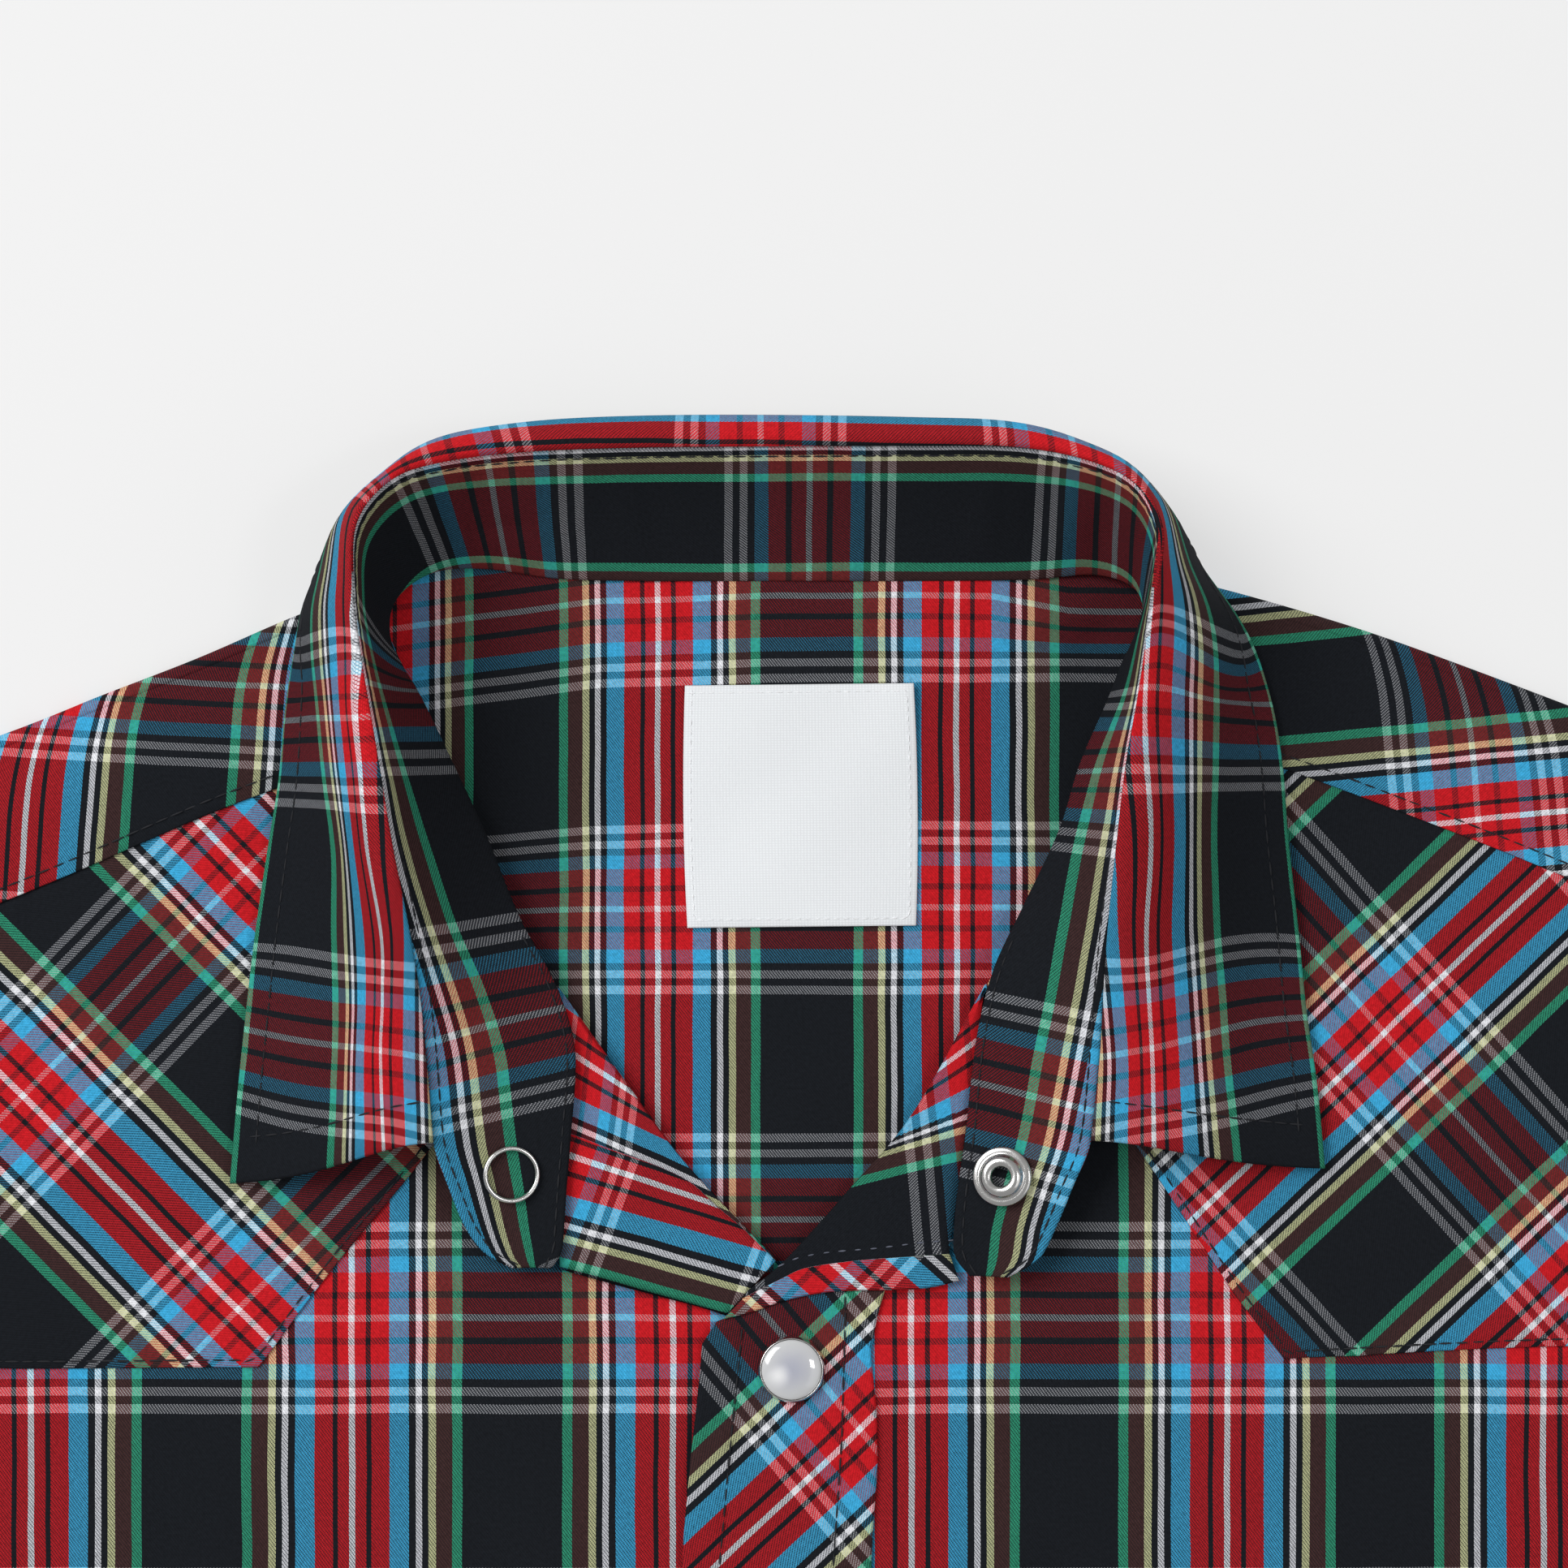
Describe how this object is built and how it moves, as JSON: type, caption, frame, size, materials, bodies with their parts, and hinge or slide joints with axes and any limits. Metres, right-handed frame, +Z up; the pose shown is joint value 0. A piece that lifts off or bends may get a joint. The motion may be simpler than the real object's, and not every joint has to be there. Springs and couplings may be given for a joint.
{
  "type": "western snap shirt",
  "caption": "Long-sleeved tartan western shirt with pointed yokes and pearl snaps, laid flat on its back with its collar open.",
  "frame": {"origin": "centre of the shirt's box on the surface it lies on", "axes": "+Z up from the surface, +Y from the hem towards the collar, +X across the shirt towards the wearer's left sleeve"},
  "size_m": [1.0568, 0.7636, 0.0365],
  "materials": {
    "tartan_cotton": "yarn-dyed cotton twill in a red, black, blue, white, yellow and green tartan, matt",
    "label_weave": "off-white woven label, bare",
    "snap_silver": "bright nickel plate",
    "snap_pearl": "polished pearlescent resin"
  },
  "bodies": {
    "root": {"back": "tartan_cotton", "collar_leaf": "tartan_cotton", "collar_stand": "tartan_cotton", "left_back_yoke": "tartan_cotton", "left_cuff": "tartan_cotton", "left_cuff_snap_pearl": "snap_pearl", "left_cuff_snap_rim": "snap_silver", "left_facing": "tartan_cotton", "left_front": "tartan_cotton", "left_front_yoke": "tartan_cotton", "left_sleeve": "tartan_cotton", "neck_label": "label_weave", "placket": "tartan_cotton", "placket_snap_1_pearl": "snap_pearl", "placket_snap_1_rim": "snap_silver", "placket_snap_2_pearl": "snap_pearl", "placket_snap_2_rim": "snap_silver", "placket_snap_3_pearl": "snap_pearl", "placket_snap_3_rim": "snap_silver", "placket_snap_4_pearl": "snap_pearl", "placket_snap_4_rim": "snap_silver", "placket_snap_5_pearl": "snap_pearl", "placket_snap_5_rim": "snap_silver", "placket_snap_6_pearl": "snap_pearl", "placket_snap_6_rim": "snap_silver", "placket_snap_7_pearl": "snap_pearl", "placket_snap_7_rim": "snap_silver", "right_back_yoke": "tartan_cotton", "right_cuff": "tartan_cotton", "right_cuff_snap_pearl": "snap_pearl", "right_cuff_snap_rim": "snap_silver", "right_facing": "tartan_cotton", "right_front": "tartan_cotton", "right_front_yoke": "tartan_cotton", "right_sleeve": "tartan_cotton", "stand_ring_snap": "snap_silver", "stand_socket_snap": "snap_silver", "yoke_lining": "tartan_cotton"}
  },
  "joints": []
}
